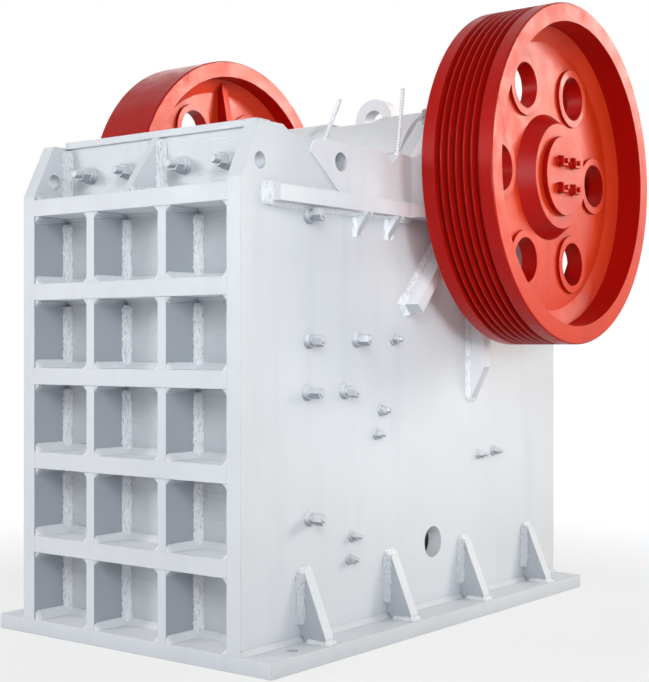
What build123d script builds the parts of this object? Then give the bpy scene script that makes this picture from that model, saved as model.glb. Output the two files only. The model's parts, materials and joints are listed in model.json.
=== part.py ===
"""Single-toggle jaw crusher on a welded plate frame, 600 by 900 mm feed class.

The frame stands on two foot plates. An eccentric shaft carries a grooved sheave and a plain
flywheel, and hangs the swing jaw inside the frame, opposite the fixed jaw on the front wall.
X runs across the machine, Y from the front wall to the rear, Z up from the floor.
"""
import os
from math import atan2, cos, degrees, pi, radians, sin, tan

from build123d import *

os.makedirs("parts", exist_ok=True)

# Frame. Depths are counted back from the front face of the side plates, heights from the floor.
# A drop is counted down from the top edge of the side plates, a rise up from it.
frame_length = 2214
frame_width = 1080
plate_top_z = 1825
plate_t = 60
base_t = 56
foot_overhang = 134
kink_drop = 172
nose_depth = 100
nose_rise = 27
nose_back = 226
saddle_depth = 275
rear_shoulder_gap = 53
rear_drop = 400
lift_hole_d = 58
lift_hole_depth = 103
lift_hole_drop = 110
access_hole_d = 124
access_hole_depth = 1187
access_hole_z = 307
anchor_hole_d = 46
anchor_inset = 187
anchor_edge = 64

# Ribbed front
wall_depth = 170
wall_t = 60
wall_rise = 47
lip_t = 25
lip_out = 12
beam_rows = 5
beam_t = 62
top_beam_drop = 186.5
rib_t = 40
side_bay_w = 281
rib_setback = 3
top_gusset_t = 36

# Crushing chamber
liner_base_t = 50
tooth_h = 32
tooth_count = 9
tooth_flat = 22
liner_side_gap = 10
fixed_liner_z = 340
liner_drop = 15
cheek_t = 30
jaw_side_gap = 14
jaw_foot_depth = 530
jaw_foot_z = 360
jaw_top_ahead = 490
jaw_top_drop = 46
jaw_crown = 60
heel_back = 120
heel_drop = 35
seat_back = 60
seat_foot = 110
seat_h = 210
seat_slope = 60
back_rib_t = 44
back_pocket_count = 4
back_pocket_d = 85
back_pocket_end = 70

# Shaft line
shaft_from_rear = 738
shaft_drop = 63
throw = 12
running_gap = 0.3
journal_r = 110
pin_wall = 13
pin_side_gap = 48
wheel_seat_step = 15
bearing_r = 205
housing_wall = 95
housing_half_w = 461
housing_shoulder = 155
housing_rise = 165
housing_depth = 150
seal_w = 35
seal_t = 12
barrel_r = 312
barrel_side_gap = 46
collar_h = 16
collar_eye_gap = 63
barrel_ring_t = 18
barrel_ring_step = 30
neck_share = 0.85
neck_top_angle = 149
neck_foot_angle = 263
eye_r = 97
eye_hole_r = 48
eye_t = 70
eye_back = 108
eye_rise = 110

# Wheels
wheel_r = 668
wheel_gap = 187
rim_w = 299
rim_t = 72
web_recess = 131
web_t = 55
flare_w = 62
flare_h = 28
edge_bevel = 5
boss_h = 12
boss_w = 29
hole_count = 6
hole_share = 0.62
hub_r = 207
hub_root_r = 250
hub_h = 60
hub_gap = 8
cap_r = 157
cap_t = 22
groove_count = 6
groove_pitch = 32
groove_top = 27
groove_depth = 24
groove_half_angle = 19
fly_rib_t = 40
fly_rib_h = 96
fly_rib_tip = 14

# Outer stiffening of each side plate
shelf_drop = 189
shelf_t = 56
shelf_out = 58
shelf_start = 140
shelf_wide_ahead = 76
pedestal_t = 10
pedestal_start = 373
pedestal_lower = 552
pedestal_corner_r = 54
pedestal_end_r = 28
pedestal_hole_d = 69
pedestal_hole_depth = 551
pedestal_hole_drop = 70
notch_ahead = 138
notch_half_w = 55
notch_d = 46
brace_t = 46
brace_out = 80
brace_length = 730
brace_angle = 46.5
post_foot_z = 873
post_taper = 130
post_tip = 16
shelf_gussets_ahead = (811, 608)
shelf_gusset_h = 85
shelf_gusset_t = 30
foot_gusset_first = 345
foot_gusset_last = 264
foot_gusset_count = 4
foot_gusset_t = 48
foot_gusset_h = 238
foot_gusset_edge = 22
foot_gusset_tip = 22
foot_gusset_cope_r = 20
stub_d = 16
stub_edge = 8
stub_shares = (0.084, 0.927)
stub_leans = (31, 8)
stub_lengths = (186, 264)

# Rear
rear_sill_l = 300
rear_wall_ahead = 424
rear_wall_t = 70
rear_wall_top_z = 1000
toggle_beam_l = 380
toggle_beam_z = 540
toggle_beam_h = 210
toggle_t = 50
toggle_side_gap = 66
toggle_rear_rise = 100
toggle_front_z = 545
open_pivot_gap = 34
rod_r = 22
rod_z = 330
rod_hole_gap = 6
rod_nut_r = 44
rod_nut_l = 60
rod_washer_r = 79
rod_washer_t = 20
coil_r = 56
coil_wire_r = 13
coil_turns = 6
coil_steps = 16
spring_l = 230

# Places that follow from the sizes above
front_y = -frame_length / 2
outer_x = frame_width / 2
inner_x = outer_x - plate_t
foot_x = outer_x + foot_overhang
kink_z = plate_top_z - kink_drop
nose_z = plate_top_z + nose_rise
wall_back = wall_depth + wall_t
wall_top_z = plate_top_z + wall_rise
beam_pitch = (plate_top_z - top_beam_drop - base_t) / beam_rows
rib_x = inner_x - side_bay_w - rib_t / 2
shaft_depth = frame_length - shaft_from_rear
shaft_z = plate_top_z - shaft_drop
axis_y = front_y + shaft_depth
housing_top_z = plate_top_z + housing_rise
housing_r = bearing_r + housing_wall
housing_start = shaft_depth - housing_half_w
housing_end = shaft_depth + housing_half_w
housing_end_x = outer_x + housing_depth
shelf_top_z = plate_top_z - shelf_drop
notch_depth = housing_start - notch_ahead
notch = ((notch_depth - notch_half_w, plate_top_z), (notch_depth, plate_top_z - notch_d),
         (notch_depth + notch_half_w, plate_top_z))
pin_r = journal_r + throw + pin_wall
pin_half_l = inner_x - pin_side_gap
wheel_seat_r = journal_r - wheel_seat_step
chamber_half_w = inner_x - cheek_t
jaw_half_w = chamber_half_w - jaw_side_gap
liner_half_w = chamber_half_w - liner_side_gap
fixed_liner_h = plate_top_z - liner_drop - fixed_liner_z
barrel_half_l = jaw_half_w - barrel_side_gap
collar_r = barrel_r + collar_h
collar_l = barrel_half_l - eye_r - collar_eye_gap
rim_inner_x = outer_x + wheel_gap
rim_outer_x = rim_inner_x + rim_w
rim_inner_r = wheel_r - rim_t
web_x = rim_outer_x - web_recess
web_r = rim_inner_r - flare_w
hole_circle_r = (hub_root_r + web_r) / 2
hole_d = hole_share * (web_r - hub_root_r)
hub_start_x = housing_end_x + seal_t + hub_gap
hub_end_x = web_x + hub_h
rear_wall_depth = frame_length - rear_wall_ahead
toggle_beam_depth = rear_wall_depth - toggle_beam_l
toggle_half_w = jaw_half_w - toggle_side_gap
toggle_rear_z = toggle_beam_z + toggle_rear_rise
side = Plane(origin=(0, front_y, 0), x_dir=(0, 1, 0), z_dir=(1, 0, 0))
shaft_line = Plane(origin=(0, axis_y, shaft_z), x_dir=(1, 0, 0), z_dir=(0, -1, 0))
cross = Plane(origin=(0, axis_y, shaft_z), x_dir=(0, 1, 0), z_dir=(1, 0, 0))
low_corner = (Align.MIN, Align.MIN)

# Foot plates and sills
with BuildPart() as foot_plate_right:
    with Locations(((inner_x + foot_x) / 2, 0, 0)):
        Box(foot_x - inner_x, frame_length, base_t, align=(Align.CENTER, Align.CENTER, Align.MIN))
    with Locations((foot_x - anchor_edge, 0, base_t)):
        with GridLocations(1, frame_length - 2 * anchor_inset, 1, 2):
            Hole(anchor_hole_d / 2)
foot_plate_right.part.label = "foot_plate_right"
export_step(foot_plate_right.part, "parts/foot_plate_right.step")

with BuildPart() as foot_plate_left:
    mirror(foot_plate_right.part, about=Plane.YZ)
foot_plate_left.part.label = "foot_plate_left"
export_step(foot_plate_left.part, "parts/foot_plate_left.step")

with BuildPart() as front_sill:
    with BuildSketch(side):
        Rectangle(wall_back, base_t, align=low_corner)
    extrude(amount=inner_x, both=True)
front_sill.part.label = "front_sill"
export_step(front_sill.part, "parts/front_sill.step")

with BuildPart() as rear_sill:
    with BuildSketch(side):
        with Locations((frame_length - rear_sill_l, 0)):
            Rectangle(rear_sill_l, base_t, align=low_corner)
    extrude(amount=inner_x, both=True)
rear_sill.part.label = "rear_sill"
export_step(rear_sill.part, "parts/rear_sill.step")

# Side plates, bored for the main bearings
with BuildPart() as side_plate_right:
    with BuildSketch(side.offset(inner_x)):
        with BuildLine():
            Polyline(
                (0, base_t), (0, kink_z), (nose_depth, nose_z), (nose_back, nose_z),
                (saddle_depth, plate_top_z), *notch, (housing_start, plate_top_z),
                (housing_start + housing_shoulder, housing_top_z),
                (housing_end - housing_shoulder, housing_top_z),
                (housing_end + rear_shoulder_gap, plate_top_z),
                (frame_length, plate_top_z - rear_drop), (frame_length, base_t), close=True)
        make_face()
        with Locations((lift_hole_depth, plate_top_z - lift_hole_drop)):
            Circle(lift_hole_d / 2, mode=Mode.SUBTRACT)
        with Locations((pedestal_hole_depth, plate_top_z - pedestal_hole_drop)):
            Circle(pedestal_hole_d / 2, mode=Mode.SUBTRACT)
        with Locations((access_hole_depth, access_hole_z)):
            Circle(access_hole_d / 2, mode=Mode.SUBTRACT)
        with Locations((shaft_depth, shaft_z)):
            Circle(bearing_r, mode=Mode.SUBTRACT)
    extrude(amount=plate_t)
side_plate_right.part.label = "side_plate_right"
export_step(side_plate_right.part, "parts/side_plate_right.step")

with BuildPart() as side_plate_left:
    mirror(side_plate_right.part, about=Plane.YZ)
side_plate_left.part.label = "side_plate_left"
export_step(side_plate_left.part, "parts/side_plate_left.step")

# Front wall with its top lip, and the grid of beams and ribs before it
with BuildPart() as front_wall:
    with BuildSketch(side):
        with Locations((wall_depth, base_t)):
            Rectangle(wall_t, wall_top_z - base_t, align=low_corner)
        with Locations((wall_depth - lip_out, wall_top_z - lip_t)):
            Rectangle(lip_out, lip_t, align=low_corner)
    extrude(amount=inner_x, both=True)
front_wall.part.label = "front_wall"
export_step(front_wall.part, "parts/front_wall.step")

beam_tops = [base_t + beam_pitch * (row + 1) for row in range(beam_rows)]
for row, beam_top in enumerate(beam_tops):
    with BuildPart() as front_beam:
        with BuildSketch(side):
            with Locations((0, beam_top - beam_t)):
                Rectangle(wall_depth, beam_t, align=low_corner)
        extrude(amount=inner_x, both=True)
    front_beam.part.label = f"front_beam_{row + 1}"
    export_step(front_beam.part, f"parts/front_beam_{row + 1}.step")

with BuildPart() as front_ribs_right:
    for beam_top in beam_tops:
        with BuildSketch(side.offset(rib_x - rib_t / 2)):
            with Locations((rib_setback, beam_top - beam_pitch)):
                Rectangle(wall_depth - rib_setback, beam_pitch - beam_t, align=low_corner)
        extrude(amount=rib_t)
front_ribs_right.part.label = "front_ribs_right"
export_step(front_ribs_right.part, "parts/front_ribs_right.step")

with BuildPart() as front_ribs_left:
    mirror(front_ribs_right.part, about=Plane.YZ)
front_ribs_left.part.label = "front_ribs_left"
export_step(front_ribs_left.part, "parts/front_ribs_left.step")

with BuildPart() as top_gusset:
    with BuildSketch(side):
        with BuildLine():
            Polyline((rib_setback, beam_tops[-1]), (wall_depth - lip_out, wall_top_z - lip_t),
                     (wall_depth, wall_top_z - lip_t), (wall_depth, beam_tops[-1]), close=True)
        make_face()
    extrude(amount=top_gusset_t / 2, both=True)
top_gusset.part.label = "top_gusset"
export_step(top_gusset.part, "parts/top_gusset.step")

# Fixed jaw: a liner with upright teeth on the back of the front wall
tooth_pitch = 2 * liner_half_w / tooth_count
fixed_face = Plane(origin=(0, front_y + wall_back, fixed_liner_z), x_dir=(1, 0, 0), z_dir=(0, 0, 1))
with BuildPart() as fixed_jaw_liner:
    with BuildSketch(fixed_face):
        with Locations((0, liner_base_t / 2)):
            Rectangle(2 * liner_half_w, liner_base_t)
        with Locations((0, liner_base_t + tooth_h / 2)):
            with GridLocations(tooth_pitch, 1, tooth_count, 1):
                Trapezoid(tooth_pitch - tooth_flat, tooth_h,
                          degrees(atan2(tooth_h, tooth_pitch / 2 - tooth_flat)))
    extrude(amount=fixed_liner_h)
fixed_jaw_liner.part.label = "fixed_jaw_liner"
export_step(fixed_jaw_liner.part, "parts/fixed_jaw_liner.step")

# Cheek plates line the chamber's two sides
face_top = (shaft_depth - jaw_top_ahead, plate_top_z - jaw_top_drop)
lean = atan2(face_top[0] - jaw_foot_depth, face_top[1] - jaw_foot_z)
with BuildPart() as cheek_plate_right:
    with BuildSketch(side.offset(chamber_half_w)):
        with BuildLine():
            Polyline((wall_back, fixed_liner_z), (wall_back, fixed_liner_z + fixed_liner_h),
                     (jaw_foot_depth + fixed_liner_h * tan(lean), fixed_liner_z + fixed_liner_h),
                     (jaw_foot_depth, fixed_liner_z), close=True)
        make_face()
    extrude(amount=cheek_t)
cheek_plate_right.part.label = "cheek_plate_right"
export_step(cheek_plate_right.part, "parts/cheek_plate_right.step")

with BuildPart() as cheek_plate_left:
    mirror(cheek_plate_right.part, about=Plane.YZ)
cheek_plate_left.part.label = "cheek_plate_left"
export_step(cheek_plate_left.part, "parts/cheek_plate_left.step")

# Rear wall, toggle beam and toggle plate
with BuildPart() as rear_wall:
    with BuildSketch(side):
        with Locations((rear_wall_depth, base_t)):
            Rectangle(rear_wall_t, rear_wall_top_z - base_t, align=low_corner)
    extrude(amount=inner_x, both=True)
    with BuildSketch(Plane(origin=(0, front_y + rear_wall_depth, rod_z), x_dir=(1, 0, 0),
                           z_dir=(0, 1, 0))):
        Circle(rod_r + rod_hole_gap)
    extrude(amount=rear_wall_t, mode=Mode.SUBTRACT)
rear_wall.part.label = "rear_wall"
export_step(rear_wall.part, "parts/rear_wall.step")

with BuildPart() as toggle_beam:
    with BuildSketch(side):
        with Locations((toggle_beam_depth, toggle_beam_z)):
            Rectangle(rear_wall_depth - toggle_beam_depth, toggle_beam_h, align=low_corner)
    extrude(amount=inner_x, both=True)
toggle_beam.part.label = "toggle_beam"
export_step(toggle_beam.part, "parts/toggle_beam.step")

# Swing jaw: a barrel on the shaft's eccentric and a slab down to the discharge, ribbed at the back
face_length = (face_top[1] - jaw_foot_z) / cos(lean)
jaw_face = Plane(origin=(0, front_y + jaw_foot_depth, jaw_foot_z), x_dir=(1, 0, 0),
                 z_dir=(0, sin(lean), cos(lean)))
heel = (jaw_foot_depth + heel_back, jaw_foot_z - heel_drop)
seat_low = (heel[0] + seat_back, heel[1] + seat_foot)
seat_high = (seat_low[0] + seat_slope, seat_low[1] + seat_h)
back_top = (shaft_depth - barrel_r, shaft_z - barrel_r)


def in_barrel(angle):
    """A point of the side outline inside the barrel, at an angle round the shaft."""
    reach = neck_share * barrel_r
    return (shaft_depth + reach * cos(radians(angle)), shaft_z + reach * sin(radians(angle)))


with BuildPart() as swing_jaw:
    with BuildSketch(side):
        with BuildLine():
            Polyline((jaw_foot_depth, jaw_foot_z), face_top,
                     (face_top[0] + jaw_crown, face_top[1] + jaw_crown), in_barrel(neck_top_angle),
                     (shaft_depth, shaft_z), in_barrel(neck_foot_angle), back_top,
                     seat_high, seat_low, heel, close=True)
        make_face()
    extrude(amount=jaw_half_w, both=True)
    pocket_w = (2 * jaw_half_w - back_rib_t) / back_pocket_count - back_rib_t
    back_l = ((back_top[0] - seat_high[0]) ** 2 + (back_top[1] - seat_high[1]) ** 2) ** 0.5
    back_turn = degrees(atan2(back_top[1] - seat_high[1], back_top[0] - seat_high[0]))
    for pocket in range(back_pocket_count):
        pocket_x = -jaw_half_w + back_rib_t + pocket * (pocket_w + back_rib_t)
        with BuildSketch(side.offset(pocket_x)):
            with Locations(Location((seat_high[0], seat_high[1]), back_turn)):
                with Locations((back_l / 2, 0)):
                    Rectangle(back_l - 2 * back_pocket_end, 2 * back_pocket_d)
        extrude(amount=pocket_w, mode=Mode.SUBTRACT)
    for radius, start, end in (
            (barrel_r, -barrel_half_l, barrel_half_l),
            (collar_r, -barrel_half_l, collar_l - barrel_half_l),
            (collar_r, barrel_half_l - collar_l, barrel_half_l),
            (barrel_r - barrel_ring_step, -barrel_half_l - barrel_ring_t, barrel_half_l + barrel_ring_t)):
        with BuildSketch(cross.offset(start)):
            with Locations((0, -throw)):
                Circle(radius)
        extrude(amount=end - start)
    with BuildSketch(cross.offset(-inner_x)):
        with Locations((0, -throw)):
            Circle(pin_r + running_gap)
    extrude(amount=2 * inner_x, mode=Mode.SUBTRACT)
swing_jaw.part.label = "swing_jaw"
export_step(swing_jaw.part, "parts/swing_jaw.step")

with BuildPart() as swing_jaw_liner:
    with BuildSketch(jaw_face):
        with Locations((0, -liner_base_t / 2)):
            Rectangle(2 * (liner_half_w - jaw_side_gap), liner_base_t)
        with Locations((0, -liner_base_t - tooth_h / 2)):
            with GridLocations(tooth_pitch, 1, tooth_count - 1, 1):
                Trapezoid(tooth_pitch - tooth_flat, tooth_h,
                          degrees(atan2(tooth_h, tooth_pitch / 2 - tooth_flat)), rotation=180)
    extrude(amount=face_length)
swing_jaw_liner.part.label = "swing_jaw_liner"
export_step(swing_jaw_liner.part, "parts/swing_jaw_liner.step")

eye_z = shaft_z + barrel_r + eye_rise - eye_r
with BuildPart() as lifting_eye:
    with BuildSketch(Plane(origin=(0, axis_y + eye_back, 0), x_dir=(1, 0, 0), z_dir=(0, -1, 0))):
        with Locations((0, eye_z)):
            Circle(eye_r)
            Circle(eye_hole_r, mode=Mode.SUBTRACT)
    extrude(amount=eye_t / 2, both=True)
    with BuildSketch(cross.offset(-eye_r)):
        with Locations((0, -throw)):
            Circle(barrel_r)
    extrude(amount=2 * eye_r, mode=Mode.SUBTRACT)
lifting_eye.part.label = "lifting_eye"
export_step(lifting_eye.part, "parts/lifting_eye.step")

toggle_front = seat_high[0] + open_pivot_gap
with BuildPart() as toggle_plate:
    with BuildSketch(side):
        with BuildLine():
            Polyline((toggle_front, toggle_front_z - toggle_t / 2),
                     (toggle_beam_depth, toggle_rear_z - toggle_t / 2),
                     (toggle_beam_depth, toggle_rear_z + toggle_t / 2),
                     (toggle_front, toggle_front_z + toggle_t / 2), close=True)
        make_face()
    extrude(amount=toggle_half_w, both=True)
toggle_plate.part.label = "toggle_plate"
export_step(toggle_plate.part, "parts/toggle_plate.step")

# Tension rod with its spring behind the rear wall
rod_start = heel[0] + 2 * open_pivot_gap
spring_start = rear_wall_depth + rear_wall_t
rod_end = spring_start + spring_l + rod_nut_l + rod_r
rod_line = Plane(origin=(0, front_y, rod_z), x_dir=(1, 0, 0), z_dir=(0, 1, 0))
with BuildPart() as tension_rod:
    with BuildSketch(rod_line.offset(rod_start)):
        Circle(rod_r)
    extrude(amount=rod_end - rod_start)
    with BuildSketch(rod_line.offset(spring_start + spring_l)):
        Circle(rod_washer_r)
    extrude(amount=rod_washer_t)
    with BuildSketch(rod_line.offset(spring_start + spring_l)):
        RegularPolygon(rod_nut_r, 6)
    extrude(amount=rod_nut_l)
tension_rod.part.label = "tension_rod"
export_step(tension_rod.part, "parts/tension_rod.step")


def on_coil(step):
    """A point of the spring's wire, some steps along its turns."""
    angle = 2 * pi * step / coil_steps
    return (coil_r * cos(angle), front_y + spring_start + spring_l * step / (coil_turns * coil_steps),
            rod_z + coil_r * sin(angle))


with BuildPart() as rod_spring:
    with BuildLine() as coil:
        Polyline(*[on_coil(step) for step in range(coil_turns * coil_steps + 1)])
    with BuildSketch(Plane(origin=coil.line @ 0, z_dir=coil.line % 0)):
        RegularPolygon(coil_wire_r, 6)
    sweep(transition=Transition.RIGHT)
    split(bisect_by=rod_line.offset(spring_start), keep=Keep.TOP)
    split(bisect_by=rod_line.offset(spring_start + spring_l), keep=Keep.BOTTOM)
rod_spring.part.label = "rod_spring"
export_step(rod_spring.part, "parts/rod_spring.step")

# Outer shelf bar, wide beside the main bearing, with two small gussets
with BuildPart() as shelf_right:
    with BuildSketch(Plane.XY.offset(shelf_top_z - shelf_t)):
        with BuildLine():
            Polyline(
                (outer_x, front_y + shelf_start), (outer_x + shelf_out, front_y + shelf_start),
                (outer_x + shelf_out, front_y + housing_start - shelf_wide_ahead),
                (housing_end_x, front_y + housing_start - shelf_wide_ahead + housing_depth - shelf_out),
                (housing_end_x, axis_y + housing_half_w), (outer_x, axis_y + housing_half_w),
                close=True)
        make_face()
    extrude(amount=shelf_t)
    for gusset_ahead in shelf_gussets_ahead:
        with BuildSketch(Plane(origin=(0, axis_y - gusset_ahead, 0), x_dir=(1, 0, 0),
                               z_dir=(0, -1, 0))):
            with BuildLine():
                Polyline((outer_x, shelf_top_z - shelf_t), (outer_x + shelf_out, shelf_top_z - shelf_t),
                         (outer_x, shelf_top_z - shelf_t - shelf_gusset_h), close=True)
            make_face()
        extrude(amount=shelf_gusset_t / 2, both=True)
    with BuildSketch(cross.offset(outer_x)):
        Circle(housing_r)
    extrude(amount=housing_depth, mode=Mode.SUBTRACT)
shelf_right.part.label = "shelf_right"
export_step(shelf_right.part, "parts/shelf_right.step")

with BuildPart() as shelf_left:
    mirror(shelf_right.part, about=Plane.YZ)
shelf_left.part.label = "shelf_left"
export_step(shelf_left.part, "parts/shelf_left.step")

# Pedestal plate between the shelf and the bearing housing, notched in its top edge
top_start = pedestal_start + pedestal_corner_r
with BuildPart() as pedestal_right:
    with BuildSketch(side.offset(outer_x)):
        with BuildLine():
            Polyline((top_start, plate_top_z), *notch, (housing_start - pedestal_end_r, plate_top_z))
            RadiusArc((housing_start - pedestal_end_r, plate_top_z),
                      (housing_start, plate_top_z - pedestal_end_r), pedestal_end_r)
            Polyline((housing_start, plate_top_z - pedestal_end_r), (housing_start, shelf_top_z),
                     (pedestal_lower, shelf_top_z), (pedestal_start, plate_top_z - pedestal_corner_r))
            RadiusArc((pedestal_start, plate_top_z - pedestal_corner_r), (top_start, plate_top_z),
                      pedestal_corner_r)
        make_face()
        with Locations((pedestal_hole_depth, plate_top_z - pedestal_hole_drop)):
            Circle(pedestal_hole_d / 2, mode=Mode.SUBTRACT)
    extrude(amount=pedestal_t)
pedestal_right.part.label = "pedestal_right"
export_step(pedestal_right.part, "parts/pedestal_right.step")

with BuildPart() as pedestal_left:
    mirror(pedestal_right.part, about=Plane.YZ)
pedestal_left.part.label = "pedestal_left"
export_step(pedestal_left.part, "parts/pedestal_left.step")

# Main bearing housing on the shelf, and the bearing with its seal cover inside it
with BuildPart() as bearing_housing_right:
    with BuildSketch(side.offset(outer_x)):
        with BuildLine():
            Polyline(
                (housing_start, shelf_top_z), (housing_start, plate_top_z),
                (housing_start + housing_shoulder, housing_top_z),
                (housing_end - housing_shoulder, housing_top_z),
                (housing_end, plate_top_z), (housing_end, shelf_top_z), close=True)
        make_face()
        with Locations((shaft_depth, shaft_z)):
            Circle(housing_r)
            Circle(bearing_r, mode=Mode.SUBTRACT)
    extrude(amount=housing_depth)
bearing_housing_right.part.label = "bearing_housing_right"
export_step(bearing_housing_right.part, "parts/bearing_housing_right.step")

with BuildPart() as bearing_housing_left:
    mirror(bearing_housing_right.part, about=Plane.YZ)
bearing_housing_left.part.label = "bearing_housing_left"
export_step(bearing_housing_left.part, "parts/bearing_housing_left.step")

with BuildPart() as main_bearing_right:
    with BuildSketch(cross.offset(inner_x)):
        Circle(bearing_r)
    extrude(amount=housing_end_x - inner_x)
    with BuildSketch(cross.offset(housing_end_x)):
        Circle(bearing_r + seal_w)
    extrude(amount=seal_t)
    with BuildSketch(cross.offset(inner_x)):
        Circle(journal_r + running_gap)
    extrude(amount=housing_end_x + seal_t - inner_x, mode=Mode.SUBTRACT)
main_bearing_right.part.label = "main_bearing_right"
export_step(main_bearing_right.part, "parts/main_bearing_right.step")

with BuildPart() as main_bearing_left:
    mirror(main_bearing_right.part, about=Plane.YZ)
main_bearing_left.part.label = "main_bearing_left"
export_step(main_bearing_left.part, "parts/main_bearing_left.step")

# Braces that spread from the bearing down the side plate
brace_top_z = shelf_top_z - shelf_t
with BuildPart() as bearing_braces_right:
    for turn in (180 + brace_angle, -brace_angle):
        reach = Location((shaft_depth + brace_length * cos(radians(turn)) / 2,
                          shaft_z + brace_length * sin(radians(turn)) / 2), turn)
        with BuildSketch(side.offset(outer_x)):
            with Locations(reach):
                Rectangle(brace_length, brace_t)
        extrude(amount=brace_out)
    with BuildSketch(Plane(origin=(0, axis_y, 0), x_dir=(1, 0, 0), z_dir=(0, -1, 0))):
        with BuildLine():
            Polyline((outer_x, brace_top_z), (outer_x + brace_out, brace_top_z),
                     (outer_x + brace_out, post_foot_z + post_taper),
                     (outer_x + post_tip, post_foot_z), (outer_x, post_foot_z), close=True)
        make_face()
    extrude(amount=brace_t / 2, both=True)
    with BuildSketch(cross.offset(outer_x)):
        Circle(housing_r)
    extrude(amount=brace_out, mode=Mode.SUBTRACT)
bearing_braces_right.part.label = "bearing_braces_right"
export_step(bearing_braces_right.part, "parts/bearing_braces_right.step")

with BuildPart() as bearing_braces_left:
    mirror(bearing_braces_right.part, about=Plane.YZ)
bearing_braces_left.part.label = "bearing_braces_left"
export_step(bearing_braces_left.part, "parts/bearing_braces_left.step")

# Gussets between the foot plates and the side plates, coped over the weld in the corner
gusset_pitch = (frame_length - foot_gusset_first - foot_gusset_last) / (foot_gusset_count - 1)
gusset_foot_x = foot_x - foot_gusset_edge
with BuildPart() as foot_gussets_right:
    for place in range(foot_gusset_count):
        gusset_y = front_y + foot_gusset_first + place * gusset_pitch
        with BuildSketch(Plane(origin=(0, gusset_y, 0), x_dir=(1, 0, 0), z_dir=(0, -1, 0))):
            with BuildLine():
                Polyline((outer_x, base_t), (gusset_foot_x, base_t),
                         (gusset_foot_x, base_t + foot_gusset_tip),
                         (outer_x + foot_gusset_tip, base_t + foot_gusset_h),
                         (outer_x, base_t + foot_gusset_h), close=True)
            make_face()
            with Locations((outer_x, base_t)):
                Circle(foot_gusset_cope_r, mode=Mode.SUBTRACT)
        extrude(amount=foot_gusset_t / 2, both=True)
foot_gussets_right.part.label = "foot_gussets_right"
export_step(foot_gussets_right.part, "parts/foot_gussets_right.step")

with BuildPart() as foot_gussets_left:
    mirror(foot_gussets_right.part, about=Plane.YZ)
foot_gussets_left.part.label = "foot_gussets_left"
export_step(foot_gussets_left.part, "parts/foot_gussets_left.step")

# Two bar stubs welded on the right side plate's top edge
with BuildPart() as bar_stubs:
    for share, stub_lean, length in zip(stub_shares, stub_leans, stub_lengths):
        foot = top_start + share * (housing_start - pedestal_end_r - top_start)
        stub_line = Plane(origin=(outer_x - stub_edge, front_y + foot, plate_top_z),
                          x_dir=(1, 0, 0),
                          z_dir=(0, sin(radians(stub_lean)), cos(radians(stub_lean))))
        with BuildSketch(stub_line.offset(-stub_d)):
            Circle(stub_d / 2)
        extrude(amount=length + stub_d)
    split(bisect_by=Plane.XY.offset(plate_top_z), keep=Keep.TOP)
bar_stubs.part.label = "bar_stubs"
export_step(bar_stubs.part, "parts/bar_stubs.step")

# Rotor: eccentric shaft, sheave, flywheel and the two end caps
with BuildPart() as eccentric_shaft:
    with BuildSketch(cross.offset(-hub_end_x)):
        Circle(wheel_seat_r)
    extrude(amount=2 * hub_end_x)
    with BuildSketch(cross.offset(-hub_start_x)):
        Circle(journal_r)
    extrude(amount=2 * hub_start_x)
    with BuildSketch(cross.offset(-pin_half_l)):
        with Locations((0, -throw)):
            Circle(pin_r)
    extrude(amount=2 * pin_half_l)
eccentric_shaft.part.label = "eccentric_shaft"
export_step(eccentric_shaft.part, "parts/eccentric_shaft.step")

rim_mid_x = (rim_inner_x + rim_outer_x) / 2


def wheel_section(way):
    """Half section of a wheel for the right (way 1) or left (way -1), as (X, radius) points."""
    web_back_x = web_x - web_t
    points = [(hub_start_x, wheel_seat_r), (hub_end_x, wheel_seat_r), (hub_end_x, hub_r),
              (web_x, hub_root_r), (web_x, web_r), (web_x + flare_h, rim_inner_r),
              (rim_outer_x, rim_inner_r), (rim_outer_x, wheel_r - edge_bevel),
              (rim_outer_x - edge_bevel, wheel_r), (rim_inner_x + edge_bevel, wheel_r),
              (rim_inner_x, wheel_r - edge_bevel), (rim_inner_x, rim_inner_r),
              (web_back_x - flare_h, rim_inner_r), (web_back_x, web_r), (web_back_x, hub_root_r),
              (hub_start_x, hub_r)]
    return [(way * x, radius) for x, radius in points]


with BuildPart() as sheave:
    with BuildSketch(shaft_line):
        with BuildLine():
            Polyline(*wheel_section(1), close=True)
        make_face()
        with Locations((rim_mid_x, wheel_r - groove_depth / 2)):
            with GridLocations(groove_pitch, 1, groove_count, 1):
                Trapezoid(groove_top, groove_depth, 90 - groove_half_angle, rotation=180,
                          mode=Mode.SUBTRACT)
    revolve(axis=Axis((0, axis_y, shaft_z), (1, 0, 0)))
    with BuildSketch(cross.offset(web_x)):
        with PolarLocations(hole_circle_r, hole_count):
            Circle(hole_d / 2 + boss_w)
    extrude(amount=boss_h)
    with BuildSketch(cross.offset(web_x - web_t)):
        with PolarLocations(hole_circle_r, hole_count):
            Circle(hole_d / 2)
    extrude(amount=web_t + boss_h, mode=Mode.SUBTRACT)
sheave.part.label = "sheave"
export_step(sheave.part, "parts/sheave.step")

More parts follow.
